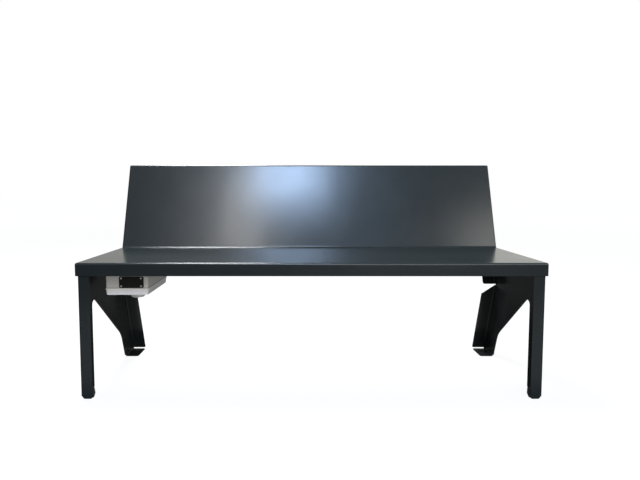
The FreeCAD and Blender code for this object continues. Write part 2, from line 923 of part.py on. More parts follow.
def box_plan(grow, radius):
    half_x = box_width / 2.0 + grow
    half_y = box_depth / 2.0 + grow
    return rounded_rectangle(box_center_x - half_x, box_center_x + half_x, box_center_y - half_y,
                             box_center_y + half_y, radius)


entry_center_x = box_center_x + entry_offset_x
entry_bottom = box_seam + entry_above_seam
entry_center_z = entry_bottom + entry_height / 2.0


def entry_screw_places():
    half_x = entry_screw_spacing_x / 2.0
    half_z = entry_screw_spacing_z / 2.0
    return [(entry_center_x + sx * half_x, entry_center_z + sz * half_z) for sx in (-1, 1) for sz in (-1, 1)]


def entry_outline(width, height, radius):
    return rounded_rectangle(entry_center_x - width / 2.0, entry_center_x + width / 2.0,
                             entry_center_z - height / 2.0, entry_center_z + height / 2.0, radius)


gland_center = Vector(box_center_x + entry_offset_x, box_rear, (box_seam + box_top) / 2.0)


def box_body():
    body = prism(box_plan(0.0, box_corner_radius), plan_plane(box_seam), Vector(0, 0, box_height))
    hollow_radius = max(box_corner_radius - box_wall, least_radius)
    hollow_height = Vector(0, 0, box_height - box_wall)
    hollow = prism(box_plan(-box_wall, hollow_radius), plan_plane(box_seam), hollow_height)
    body = body.cut(hollow)
    up = Vector(0, 0, 1)
    for x, y in lid_screw_places():
        boss = rod(Vector(x, y, box_seam), up, box_height - box_wall / 2.0, lid_boss_diameter)
        body = body.fuse(boss)
    inside = prism(box_plan(0.0, box_corner_radius), plan_plane(box_seam), Vector(0, 0, box_height))
    body = body.common(inside).removeSplitter()
    for x, y in lid_screw_places():
        body = body.cut(rod(Vector(x, y, box_seam), up, lid_screw_reach + lid_gap + cut_margin,
                            lid_screw_diameter + 2.0 * moving_gap))
    for x, y in box_screw_places():
        body = body.cut(rod(Vector(x, y, box_top - 2.0 * box_wall), up, 3.0 * box_wall,
                            box_screw_diameter + hole_clearance))
    for x, y in grommet_places():
        body = body.cut(rod(Vector(x, y, box_top - 2.0 * box_wall), up, 3.0 * box_wall, grommet_bore))
    rearward = Vector(0, 1, 0)
    window = prism(entry_outline(entry_window_width, entry_window_height, entry_radius),
                   front_plane(box_front - cut_margin), rearward * (box_wall + 2.0 * cut_margin))
    body = body.cut(window)
    for x, z in entry_screw_places():
        body = body.cut(rod(Vector(x, box_front - cut_margin, z), rearward, box_wall + 2.0 * cut_margin,
                            entry_screw_diameter + hole_clearance))
    return body.cut(rod(gland_center - rearward * 2.0 * box_wall, rearward, 3.0 * box_wall,
                        gland_thread + hole_clearance))


def lid_shell():
    """A drafted tray with a proud rim at the seam."""
    rim_bottom = lid_top - lid_rim
    rim = prism(box_plan(lid_rim_proud, box_corner_radius + lid_rim_proud), plan_plane(rim_bottom),
                Vector(0, 0, lid_rim))
    top_wire = outline(box_plan(0.0, box_corner_radius), plan_plane(rim_bottom))
    low_wire = outline(box_plan(-lid_draft, box_corner_radius), plan_plane(lid_bottom))
    tray = Part.makeLoft([low_wire, top_wire], True, True)
    body = tray.fuse(rim)
    inner_radius = max(box_corner_radius - lid_wall, least_radius)
    inner_low = outline(box_plan(-lid_draft - lid_wall, inner_radius), plan_plane(lid_bottom + lid_wall))
    mouth = -gasket_width - gasket_inner_wall
    inner_high = outline(box_plan(mouth, inner_radius), plan_plane(lid_top))
    return body.cut(Part.makeLoft([inner_low, inner_high], True, True))


def gasket_ring(thickness, z, room):
    outer = prism(box_plan(-room, box_corner_radius), plan_plane(z), Vector(0, 0, thickness))
    inner_radius = max(box_corner_radius - gasket_width, least_radius)
    inner = prism(box_plan(-gasket_width + room, inner_radius), plan_plane(z), Vector(0, 0, thickness))
    return outer.cut(inner)


def box_lid():
    lid = lid_shell()
    up = Vector(0, 0, 1)
    envelope = prism(box_plan(0.0, box_corner_radius), plan_plane(lid_bottom), Vector(0, 0, lid_height))
    for x, y in lid_screw_places():
        foot = Vector(x, y, lid_bottom + lid_wall / 2.0)
        post = rod(foot, up, lid_top - foot.z, lid_boss_diameter)
        lid = lid.fuse(post.common(envelope))
    lid = lid.removeSplitter()
    for x, y in lid_screw_places():
        lid = lid.cut(rod(Vector(x, y, lid_bottom), up, lid_height, lid_screw_diameter + hole_clearance))
        lid = lid.cut(rod(Vector(x, y, lid_bottom), up, pan_head_height,
                          lid_screw_diameter * pan_head_ratio + hole_clearance))
    lid = lid.cut(gasket_ring(gasket_groove, lid_top - gasket_groove, 0.0))
    return lid.cut(rod(Vector(box_center_x, box_center_y, lid_bottom), up, lid_wall,
                       vent_spigot_diameter + hole_clearance))


def lid_gasket():
    return gasket_ring(gasket_groove + gasket_proud, lid_top - gasket_groove, gasket_clearance)


def lid_screws():
    up = Vector(0, 0, 1)
    length = lid_height - pan_head_height + lid_gap + lid_screw_reach
    return gather([pan_screw(Vector(x, y, lid_bottom + pan_head_height), up, lid_screw_diameter, length)
                   for x, y in lid_screw_places()])


def lid_vent_cap():
    """A round breather under the lid: a tapered dome with a spigot through the lid."""
    center = Vector(box_center_x, box_center_y, lid_bottom - vent_cap_height)
    dome = Part.makeCone(vent_cap_bottom / 2.0, vent_cap_diameter / 2.0, vent_cap_height, center)
    low_edges = [edge for edge in dome.Edges if edge.BoundBox.ZMax < center.z + 1e-3]
    dome = dome.makeFillet(vent_cap_radius, low_edges)
    top = center + Vector(0, 0, vent_cap_height)
    spigot = rod(top, Vector(0, 0, 1), lid_wall + vent_spigot_reach, vent_spigot_diameter)
    return dome.fuse(spigot).removeSplitter()


def box_screws():
    up = Vector(0, 0, 1)
    length = box_wall + cover_sheet + box_nut_height
    return gather([pan_screw(Vector(x, y, box_top - box_wall), up, box_screw_diameter, length)
                   for x, y in box_screw_places()])


def box_nuts():
    up = Vector(0, 0, 1)
    bore = box_screw_diameter + hole_clearance
    seat = cover_under + cover_sheet
    return gather([hex_nut(Vector(x, y, seat), up, box_nut_height, box_nut_across_flats, bore)
                   for x, y in box_screw_places()])


def entry_layer(front, thickness):
    rearward = Vector(0, 1, 0)
    corners = entry_outline(entry_width, entry_height, entry_radius)
    layer = prism(corners, front_plane(front), rearward * thickness)
    bore = entry_screw_diameter + hole_clearance
    for x, z in entry_screw_places():
        layer = layer.cut(rod(Vector(x, front, z), rearward, thickness, bore))
    return layer


def entry_plate():
    front = box_front - entry_gasket - entry_thickness
    plate = entry_layer(front, entry_thickness)
    outer = [edge for edge in plate.Edges if edge.BoundBox.YMax < front + 1e-3
             and edge.BoundBox.DiagonalLength > entry_screw_diameter * 2.0]
    return plate.makeChamfer(entry_chamfer, outer)


def entry_plate_gasket():
    layer = entry_layer(box_front - entry_gasket, entry_gasket)
    window = prism(entry_outline(entry_window_width, entry_window_height, entry_radius),
                   front_plane(box_front - entry_gasket), Vector(0, entry_gasket, 0))
    return layer.cut(window)


def entry_plate_screws():
    front = box_front - entry_gasket - entry_thickness
    length = entry_thickness + entry_gasket + box_wall + entry_screw_tail
    return gather([pan_screw(Vector(x, front, z), Vector(0, 1, 0), entry_screw_diameter, length)
                   for x, z in entry_screw_places()])


def supply_gland():
    rearward = Vector(0, 1, 0)
    stem_length = box_wall + gland_lock_nut + gland_tail
    stem_end = gland_center - rearward * stem_length
    flange_hex = hexagon(gland_center, rearward, gland_hex_height, gland_hex)
    stem = rod(stem_end, rearward, stem_length, gland_thread)
    neck = rod(gland_center + rearward * gland_hex_height, rearward, gland_neck_length, gland_neck)
    body = flange_hex.fuse([stem, neck]).removeSplitter()
    return body.cut(rod(stem_end, rearward, stem_length + gland_hex_height + gland_neck_length, gland_bore))


def gland_dome_nut():
    rearward = Vector(0, 1, 0)
    start = gland_center + rearward * gland_hex_height
    tip_start = start + rearward * gland_dome_hex
    dome = hexagon(start, rearward, gland_dome_hex, gland_hex)
    tip_length = gland_dome_length - gland_dome_hex
    tip = Part.makeCone(gland_hex / 2.0, gland_tip / 2.0, tip_length, tip_start, rearward)
    nut = dome.fuse(tip).removeSplitter()
    nut = nut.cut(rod(start, rearward, gland_neck_length + hole_clearance, gland_neck + hole_clearance))
    return nut.cut(rod(start, rearward, gland_dome_length, gland_bore))


def gland_locknut():
    rearward = Vector(0, 1, 0)
    start = gland_center - rearward * (box_wall + gland_lock_nut)
    return hex_nut(start, rearward, gland_lock_nut, gland_hex, gland_thread + hole_clearance)


# Devices inside the box, hung from a rail on the box roof

roof = box_top - box_wall
device_top = roof - din_rail_height
device_bottom = device_top - device_height


def din_rail():
    half = din_rail_width / 2.0
    y0 = box_front + box_wall + din_rail_margin
    y1 = box_rear - box_wall - din_rail_margin
    crown = din_rail_crown / 2.0
    section = [
        (-half, device_top), (-crown, device_top), (-crown, roof - din_rail_sheet),
        (crown, roof - din_rail_sheet), (crown, device_top), (half, device_top),
        (half, device_top + din_rail_sheet), (crown + din_rail_sheet, device_top + din_rail_sheet),
        (crown + din_rail_sheet, roof), (-crown - din_rail_sheet, roof),
        (-crown - din_rail_sheet, device_top + din_rail_sheet), (-half, device_top + din_rail_sheet),
    ]
    points = [(box_center_x + a, b) for a, b in section]
    return prism(points, front_plane(y0), Vector(0, y1 - y0, 0))


def device_case(start, length, width, height):
    case = block(box_center_x - width / 2.0, box_center_x + width / 2.0, start, start + length,
                 device_top - height, device_top)
    low = [edge for edge in case.Edges if edge.BoundBox.ZMax < device_top - height + 1e-3]
    return case.makeFillet(device_radius, low)


def power_supply():
    case = device_case(supply_front, supply_length, device_width, device_height)
    pitch = supply_length / (vent_slot_count + 1.0)
    half_length = vent_slot_length / 2.0
    half_width = vent_slot_width / 2.0
    for index in range(vent_slot_count):
        y = supply_front + pitch * (index + 1)
        case = case.cut(block(box_center_x - half_length, box_center_x + half_length, y - half_width,
                              y + half_width, device_bottom, device_bottom + vent_slot_depth))
    return case


def dial_center():
    return Vector(box_center_x, thermostat_front + thermostat_length / 2.0, device_bottom)


def thermostat_body():
    case = device_case(thermostat_front, thermostat_length, device_width, device_height)
    bore = dial_shaft + 2.0 * moving_gap
    return case.cut(rod(dial_center(), Vector(0, 0, 1), dial_shaft_length + cut_margin, bore))


def thermostat_dial():
    down = Vector(0, 0, -1)
    face = dial_center() + down * moving_gap
    dial = rod(face, down, dial_height, dial_diameter)
    low = [edge for edge in dial.Edges if edge.BoundBox.ZMax < face.z - dial_height + 1e-3]
    dial = dial.makeFillet(dial_round, low)
    half = dial_mark_width / 2.0
    mark_start = face.y + dial_mark_start
    mark_face = face.z - dial_height
    pointer = block(face.x - half, face.x + half, mark_start, mark_start + dial_mark_length,
                    mark_face, mark_face + dial_mark_depth)
    shaft = rod(face, Vector(0, 0, 1), dial_shaft_length, dial_shaft)
    return dial.cut(pointer).fuse(shaft).removeSplitter()


def toggle_center():
    height = device_bottom + toggle_drum / 2.0 - toggle_proud
    return Vector(box_center_x, breaker_front + breaker_length / 2.0, height)


def breaker_body():
    case = device_case(breaker_front, breaker_length, device_width, device_height)
    center = toggle_center()
    along_y = Vector(0, 1, 0)
    room = toggle_drum / 2.0 + moving_gap
    half = toggle_width / 2.0 + moving_gap
    reach = toggle_drum / 2.0 + toggle_lever
    mouth = reach * math.sin(math.radians(toggle_tilt)) + toggle_lever_thickness
    slot = rod(center - along_y * half, along_y, 2.0 * half, 2.0 * room)
    slot = slot.fuse(block(center.x - mouth, center.x + mouth, center.y - half, center.y + half,
                           device_bottom, center.z))
    case = case.cut(slot)
    return case.fuse(rod(center - along_y * half, along_y, 2.0 * half, toggle_pin)).removeSplitter()


def breaker_toggle():
    center = toggle_center()
    along_y = Vector(0, 1, 0)
    drum = rod(center - along_y * (toggle_width / 2.0), along_y, toggle_width, toggle_drum)
    lever = block(center.x - toggle_lever_thickness / 2.0, center.x + toggle_lever_thickness / 2.0,
                  center.y - toggle_width / 2.0, center.y + toggle_width / 2.0,
                  center.z - toggle_drum / 2.0 - toggle_lever, center.z)
    toggle = drum.fuse(lever).removeSplitter()
    toggle = toggle.cut(rod(center - along_y * (toggle_width / 2.0), along_y, toggle_width,
                            toggle_pin + 2.0 * moving_gap))
    return toggle.rotate(center, along_y, toggle_tilt)


def terminal_block():
    return device_case(terminal_front, terminal_length, terminal_width, terminal_height)


# Export

def save(name, shape):
    placed = shape.copy()
    placed.translate(center_shift)
    placed.exportStep("parts/" + name + ".step")
    solids = len(placed.Solids)
    box = placed.BoundBox
    print(name, solids, "solid(s)", "valid" if placed.isValid() else "NOT VALID",
          [round(v, 1) for v in (box.XMin, box.XMax, box.YMin, box.YMax, box.ZMin, box.ZMax)])


os.makedirs("parts", exist_ok=True)

leg = left_leg()

save("seat_back_shell", seat_back_shell())
save("left_leg", leg)
save("right_leg", mirrored(leg))
save("seat_studs", seat_studs())
save("stud_washers", stud_washers())
save("stud_nuts", stud_nuts())
save("back_standoffs", back_standoffs())
save("arm_washers", arm_washers())
save("arm_bolts", arm_bolts())
save("front_seat_rail", seat_panel.rail(0))
save("rear_seat_rail", rear_seat_rail())
save("lower_back_rail", lower_back_rail())
save("upper_back_rail", back_panel.rail(1))
save("seat_heating_mat", seat_panel.mat())
save("back_heating_mat", back_panel.mat())
save("seat_insulation", seat_insulation())
save("back_insulation", back_insulation())
save("temperature_sensor", temperature_sensor())
save("bottom_cover", bottom_cover())
save("back_cover", back_panel.cover())
save("bottom_cover_screws", seat_panel.cover_screws())
save("back_cover_screws", back_panel.cover_screws())
save("seat_mat_pot", seat_mat_pot())
save("back_mat_pot", back_mat_pot())
save("seat_lead", seat_lead())
save("back_lead", back_lead())
save("box_grommets", box_grommets())
save("rail_grommets", rail_grommets())
save("box_body", box_body())
save("box_lid", box_lid())
save("lid_gasket", lid_gasket())
save("lid_screws", lid_screws())
save("lid_vent_cap", lid_vent_cap())
save("box_screws", box_screws())
save("box_nuts", box_nuts())
save("entry_plate", entry_plate())
save("entry_plate_gasket", entry_plate_gasket())
save("entry_plate_screws", entry_plate_screws())
save("supply_gland", supply_gland())
save("gland_dome_nut", gland_dome_nut())
save("gland_locknut", gland_locknut())
save("din_rail", din_rail())
save("power_supply", power_supply())
save("thermostat_body", thermostat_body())
save("thermostat_dial", thermostat_dial())
save("breaker_body", breaker_body())
save("breaker_toggle", breaker_toggle())
save("terminal_block", terminal_block())
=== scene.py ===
# %% [markdown]
# # A heated bench
# The bench is folded from one long steel sheet and stands on two bent plates. A small control
# box hangs under its left end. The CAD model already holds every piece at its real size, so
# Blender does not model the bench again: it loads those pieces as a fixed frame and gives them
# light, finishes and the small forms that the CAD leaves plain.

# %% Load the frame
import bpy
from math import cos, pi, radians, sin
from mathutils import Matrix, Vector


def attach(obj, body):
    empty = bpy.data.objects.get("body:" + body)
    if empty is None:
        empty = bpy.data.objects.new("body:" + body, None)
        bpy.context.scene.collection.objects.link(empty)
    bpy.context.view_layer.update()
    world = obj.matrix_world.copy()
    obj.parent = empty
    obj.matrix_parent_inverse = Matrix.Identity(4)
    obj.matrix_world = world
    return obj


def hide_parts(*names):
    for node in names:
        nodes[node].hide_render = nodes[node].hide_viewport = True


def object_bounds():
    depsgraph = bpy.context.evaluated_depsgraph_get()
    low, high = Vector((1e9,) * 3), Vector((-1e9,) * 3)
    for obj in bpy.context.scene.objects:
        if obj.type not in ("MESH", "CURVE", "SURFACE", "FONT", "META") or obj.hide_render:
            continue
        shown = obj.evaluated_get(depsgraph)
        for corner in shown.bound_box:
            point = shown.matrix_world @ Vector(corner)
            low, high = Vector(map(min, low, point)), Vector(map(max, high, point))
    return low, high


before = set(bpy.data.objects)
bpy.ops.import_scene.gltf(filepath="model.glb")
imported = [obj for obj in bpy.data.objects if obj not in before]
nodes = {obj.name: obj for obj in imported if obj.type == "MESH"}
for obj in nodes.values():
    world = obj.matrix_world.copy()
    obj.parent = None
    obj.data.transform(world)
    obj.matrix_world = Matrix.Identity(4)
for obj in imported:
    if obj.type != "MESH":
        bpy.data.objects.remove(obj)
cad_low, cad_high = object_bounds()

# %% [markdown]
# ## The camera
# A straight look at the long side shows the seat as a thin strip and both legs from within.
# A camera could be aimed with a Track To constraint, but here its height, distance and tilt were
# worked out from the edges of the bench, so they are simply written down. The lens is given by
# its focal length in pixels, because that is how it was measured, and the small shift sets
# the bench a little left of and above the middle of the picture.

# %% Camera
picture_width = 640
picture_height = 480
focal_pixels = 481.0
optical_centre = (300.47, 221.55)
camera_place = Vector((-0.0355, -1.7814, 0.675))
camera_tilt = radians(3.869)

camera_data = bpy.data.cameras.new("camera")
camera = bpy.data.objects.new("camera", camera_data)
bpy.context.scene.collection.objects.link(camera)
camera.location = camera_place
camera.rotation_euler = (radians(90) - camera_tilt, 0, 0)
camera_data.sensor_fit = "HORIZONTAL"
camera_data.lens = focal_pixels / picture_width * camera_data.sensor_width
camera_data.shift_x = (picture_width / 2 - optical_centre[0]) / picture_width
camera_data.shift_y = (optical_centre[1] - picture_height / 2) / picture_width
bpy.context.scene.camera = camera
bpy.context.scene.view_settings.view_transform = "Standard"
print("camera lens", round(camera_data.lens, 2), "mm")

# %% [markdown]
# ## Nodes as expressions
# A node tree can be clicked together by hand, but in a script it soon becomes a long list of
# links. Here one small class wraps a socket, so that sums and products of sockets read as
# sums and products and add their Math nodes by themselves. Every other node comes from
# one method that takes the kind of node, its settings and its inputs.

# %% A wrapped socket
class Wire:
    """One output socket of a node tree."""

    def __init__(self, tree, socket=None):
        self.tree = tree
        self.socket = socket

    def node(self, kind, settings=None, inputs=None, output=0):
        """Adds a node: its settings first, then the values or links of its sockets."""
        made = self.tree.nodes.new(kind)
        for name, value in (settings or {}).items():
            if name == "stops":
                set_stops(made.color_ramp, value)
            else:
                setattr(made, name, value)
        for name, value in (inputs or {}).items():
            wires = value if isinstance(value, list) else [value]
            for one in wires:
                if isinstance(one, Wire):
                    self.tree.links.new(one.socket, made.inputs[name])
                else:
                    made.inputs[name].default_value = one
        return Wire(self.tree, made.outputs[output] if made.outputs else None)

    def beside(self, output):
        """Another output of the same node."""
        return Wire(self.tree, self.socket.node.outputs[output])

    def math(self, operation, left, right=0.0):
        """A Math node on one or two values or wires."""
        return self.node("ShaderNodeMath", {"operation": operation}, {0: left, 1: right})

    def __add__(self, other):
        return self.math("ADD", self, other)

    def __sub__(self, other):
        return self.math("SUBTRACT", self, other)

    def __mul__(self, other):
        return self.math("MULTIPLY", self, other)

    def __truediv__(self, other):
        return self.math("DIVIDE", self, other)

    def __rsub__(self, other):
        return self.math("SUBTRACT", other, self)

    __radd__ = __add__
    __rmul__ = __mul__


def set_stops(ramp, stops):
    """Gives a colour ramp its stops, each a position and a colour."""
    while len(ramp.elements) < len(stops):
        ramp.elements.new(1.0)
    for element, (position, colour) in zip(ramp.elements, stops):
        element.position = position
        element.color = colour


print("sockets can be added and multiplied")

# %% [markdown]
# ## The room
# The bench is shown on plain white. A white room could be built, but a world that is white to the
# camera and dimmer as a source of light does the same without lighting the bench too much.
# To all but the camera it is a room: warm white walls, a dimmer bluish ceiling that the leaning
# back mirrors, a right side brighter than the left and a dark far left. To mirrors and glass the
# room has its full level. A world has no places, only directions, so heights and sides are
# given as parts of a direction, from -1 to 1.

# %% World
wall_colour = (1.0, 0.985, 0.925, 1)
ceiling_colour = (0.36, 0.41, 0.46, 1)
wall_top = 0.30
ceiling_edge = 0.46
light_level = 0.80
middle_level = 0.72
left_to_right = 0.50
left_shade = 0.02
left_dark_to_light = (-0.95, -0.45)


def ray_kinds(wire):
    """Wires that are one for rays of the camera, of glossy surfaces and of glass."""
    to_camera = wire.node("ShaderNodeLightPath", output="Is Camera Ray")
    return to_camera, to_camera.beside("Is Glossy Ray"), to_camera.beside("Is Transmission Ray")


def fade(value, start, end):
    """A wire that goes softly from 0 to 1 while a value goes from start to end."""
    return value.node("ShaderNodeMapRange", {"interpolation_type": "SMOOTHSTEP"}, {
        "Value": value, "From Min": start, "From Max": end})


world = bpy.data.worlds.new("studio")
bpy.context.scene.world = world
world.use_nodes = True
world.node_tree.nodes.clear()
sky = Wire(world.node_tree)
direction = sky.node("ShaderNodeTexCoord", output="Generated")
height = sky.node("ShaderNodeSeparateXYZ", inputs={0: direction}, output="Z")
across = height.beside("X")
dark_left = left_shade + (1.0 - left_shade) * fade(across, *left_dark_to_light)
side = (middle_level + left_to_right * across) * dark_left
room_stops = [(wall_top, wall_colour), (ceiling_edge, ceiling_colour)]
room = sky.node("ShaderNodeValToRGB", {"stops": room_stops}, {0: height})
to_camera, to_gloss, to_glass = ray_kinds(sky)
mirrored = to_gloss + to_glass
level = side * (light_level + (1.0 - light_level) * mirrored)
lit = sky.node("ShaderNodeBackground", inputs={"Strength": level, "Color": room})
white = sky.node("ShaderNodeBackground", inputs={"Color": (1, 1, 1, 1)})
shown = sky.node("ShaderNodeMixShader", inputs={0: to_camera, 1: lit, 2: white})
sky.node("ShaderNodeOutputWorld", inputs={"Surface": shown})
print("world with", len(world.node_tree.nodes), "nodes")

# %% [markdown]
# ## The floor
# A studio often has a paper roll that curves up behind the object. Here one large flat square is
# enough, because it is lifted to white for the camera, a little more far off where less light
# falls. It still darkens where the bench shades it, and seen from below it lets the camera through.
# The legs mirror the floor as well, and a real floor is not lit evenly. Glossy surfaces see
# painted light on it instead of its own shading: a painted pool of light before the bench, painted
# shade nearly dark under it, a dim painted glow behind it, painted shade on the left, and a pale
# painted glow where a surface mirrors it steeply from above.

# %% Floor
floor_half_size = 40.0
floor_albedo = 0.10
floor_lift = 0.922
floor_far_lift = 0.05
floor_near = 2.5
floor_far = 9.0
# Levels of the painted light and painted shade that glossy rays see on the floor.
painted_shade_under = 0.02
painted_light_before = 0.27
painted_light_behind = 0.08
painted_light_steep = 0.60
before_from = (-2.4, -1.3)
before_until = (-0.5, -0.25)
behind_from = (0.5, 1.3)
left_dark_until = (-1.40, -1.12)
steep_from = (0.50, 0.85)

floor_mesh = bpy.data.meshes.new("floor")
corners = [(-1, -1), (1, -1), (1, 1), (-1, 1)]
corner_places = [(x * floor_half_size, y * floor_half_size, 0) for x, y in corners]
floor_mesh.from_pydata(corner_places, [], [(0, 1, 2, 3)])
floor = bpy.data.objects.new("floor", floor_mesh)
bpy.context.scene.collection.objects.link(floor)
floor_paint = bpy.data.materials.new("floor_paint")
floor_mesh.materials.append(floor_paint)
floor_paint.use_nodes = True
floor_paint.node_tree.nodes.clear()
ground = Wire(floor_paint.node_tree)
to_camera, to_gloss, to_glass = ray_kinds(ground)
# To glossy rays the floor's own lit colour is black, so they see only the painted light below.
matt = ground.node("ShaderNodeBsdfDiffuse", inputs={"Color": floor_albedo * (1.0 - to_gloss)})
spot = ground.node("ShaderNodeTexCoord", output="Object")
reach = ground.node("ShaderNodeVectorMath", {"operation": "LENGTH"}, {0: spot}, output="Value")
far_off = ground.node("ShaderNodeMapRange", inputs={
    "Value": reach, "From Min": floor_near, "From Max": floor_far, "To Max": floor_far_lift})
floor_x = ground.node("ShaderNodeSeparateXYZ", inputs={0: spot})
floor_y = floor_x.beside("Y")
# Painted light and shade for glossy rays: a pool of light before the bench, shade under it, a dim
# glow behind it, shade on the left, a pale glow for steep views.
before = fade(floor_y, *before_from) - fade(floor_y, *before_until)
behind = fade(floor_y, *behind_from)
painted_floor_light = painted_shade_under + painted_light_before * before + painted_light_behind * behind
painted_floor_light = painted_floor_light * fade(floor_x, *left_dark_until)
seen_from = ground.node("ShaderNodeNewGeometry", output="Incoming")
steepness = ground.node("ShaderNodeSeparateXYZ", inputs={0: seen_from}, output="Z")
painted_floor_light = painted_floor_light + painted_light_steep * fade(steepness, *steep_from)
lift = (to_camera + to_glass) * (floor_lift + far_off) + to_gloss * painted_floor_light
glow = ground.node("ShaderNodeEmission", inputs={"Strength": lift})
pale = ground.node("ShaderNodeAddShader", inputs={0: matt, 1: glow})
below = seen_from.beside("Backfacing")
clear = ground.node("ShaderNodeBsdfTransparent")
paint = ground.node("ShaderNodeMixShader", inputs={0: below * to_camera, 1: pale, 2: clear})
ground.node("ShaderNodeOutputMaterial", inputs={"Surface": paint})
print("floor half size", floor_half_size, "m")

# %% [markdown]
# ## The lamps
# On a semi-gloss coat a lamp is seen twice: as light, and as a soft patch where the sheet mirrors
# it. The back leans, so it mirrors what is high behind the camera. A small bluish window there
# gives the bright patch near the middle, and a faint wide sky its glow. A dimmer tall panel
# beside it gives the warm grey fade to the left, with a fainter one further out, and a
# wide panel brightens the right end. Lamps can be moved about until they look right.
# Here each of these is placed by the spot of the picture where the back is to mirror it: a
# ray goes from the camera to that spot and on as a mirror sends it.
# Three more lamps have plain places. One before the bench lights the legs and the box. Two high
# ones, above the bench and behind it, draw the bright lines along the bends. The back hides
# the rear one from the fold, so only the front bend gets both.

# %% Lamps
seat_height = 0.442
seat_depth = 0.410
fold_place = Vector((0.0, seat_depth + cad_low.y, seat_height))
back_lean = radians(18.55)
back_normal = Vector((0.0, -cos(back_lean), sin(back_lean)))
lamp_distance = 4.0
high_width = 1.20
high_tall = 0.90
high_colour = (0.95, 0.98, 1.0)


def aimed_lamp(name, place, target, width, tall, colour, radiance):
    """An area lamp that faces a target. Its sizes are in metres."""
    data = bpy.data.lights.new(name, "AREA")
    data.shape = "RECTANGLE"
    data.size = width
    data.size_y = tall
    data.color = colour
    data.energy = radiance * pi * width * tall
    lamp = bpy.data.objects.new(name, data)
    lamp.location = place
    lamp.rotation_euler = (target - place).to_track_quat("-Z", "Y").to_euler()
    lamp.visible_camera = False
    bpy.context.scene.collection.objects.link(lamp)
    print(name, "at", [round(c, 2) for c in place], round(data.energy, 1), "W")


def mirrored_lamp(name, column, row, width, tall, colour, radiance):
    """An area lamp that the back mirrors at a spot of the picture."""
    right = (column - optical_centre[0]) / focal_pixels
    up = (optical_centre[1] - row) / focal_pixels
    sight = camera.rotation_euler.to_matrix() @ Vector((right, up, -1.0))
    reach = (fold_place - camera_place).dot(back_normal) / sight.dot(back_normal)
    spot = camera_place + sight * reach
    onward = sight.reflect(back_normal).normalized()
    aimed_lamp(name, spot + onward * lamp_distance, spot, width, tall, colour, radiance)


mirrored_lamp("window_lamp", column=290, row=171, width=0.82, tall=0.76,
              colour=(0.50, 0.69, 1.0), radiance=35.0)
mirrored_lamp("sky_lamp", column=335, row=205, width=1.60, tall=1.40,
              colour=(0.40, 0.66, 1.0), radiance=0.7)
mirrored_lamp("tall_lamp", column=243, row=225, width=0.42, tall=1.50,
              colour=(1.0, 0.97, 0.94), radiance=10.3)
mirrored_lamp("left_lamp", column=205, row=215, width=0.80, tall=1.50,
              colour=(0.95, 0.97, 1.0), radiance=0.8)
mirrored_lamp("right_lamp", column=522, row=250, width=1.30, tall=1.00,
              colour=(1.0, 0.97, 0.92), radiance=4.0)
aimed_lamp("front_lamp", Vector((1.1, -4.0, 1.0)), fold_place, width=1.9, tall=1.3,
           colour=(1.0, 0.98, 0.96), radiance=4.7)
aimed_lamp("top_lamp", Vector((-0.9, 0.6, 3.4)), fold_place, high_width, high_tall,
           high_colour, radiance=34.0)
aimed_lamp("rear_lamp", Vector((-0.9, 2.1, 3.0)), fold_place, high_width, high_tall,
           high_colour, radiance=26.0)

# %% [markdown]
# ## Powder coat
# The sheet is sprayed with dry paint powder and baked. The skin is even in colour, but close up
# it has the fine pebbled surface that painters call orange peel. A long folded sheet is never
# quite flat either: it waves slowly, has shallow dents and keeps faint streaks from the rolls,
# so what it mirrors wavers a little. A picture could carry all that. Noise on the piece's
# own coordinates needs no picture, and it keeps its real scale in millimetres.
# All finishes here are made alike: one factor, such as a smudge, shifts the colour and the
# roughness together, and height fields give the relief.

# %% Powder coat material
def new_finish(name, **constants):
    """A material with a Principled shader whose plain values are set, and a wire to build on."""
    material = bpy.data.materials.new(name)
    material.use_nodes = True
    shader = material.node_tree.nodes["Principled BSDF"]
    for socket, value in constants.items():
        shader.inputs[socket.replace("_", " ")].default_value = value
    wire = Wire(material.node_tree)
    place = wire.node("ShaderNodeTexCoord", output="Object")
    return material, place


def noise(place, size, detail=2.0, rough=0.5):
    """Soft noise from 0 to 1 whose lumps are about that size in metres."""
    return place.node("ShaderNodeTexNoise", inputs={
        "Vector": place, "Scale": 1.0 / size, "Detail": detail, "Roughness": rough})


def bump(height, depth, under=None):
    """A normal from a height field that is that deep in metres."""
    inputs = {"Height": height, "Distance": depth, "Strength": 1.0}
    if under:
        inputs["Normal"] = under
    return height.node("ShaderNodeBump", inputs=inputs)


def dress(material, factor, dark, light, rough, rough_spread, relief):
    """Feeds a shader its colour and roughness by one factor, and its relief."""
    colour = factor.node("ShaderNodeMix", {"data_type": "RGBA"}, {
        "Factor": factor, "A": (*dark, 1), "B": (*light, 1)}, output="Result")
    fed = {"Base Color": colour, "Roughness": rough + rough_spread * factor, "Normal": relief}
    shader = material.node_tree.nodes["Principled BSDF"]
    for socket, wire in fed.items():
        material.node_tree.links.new(wire.socket, shader.inputs[socket])


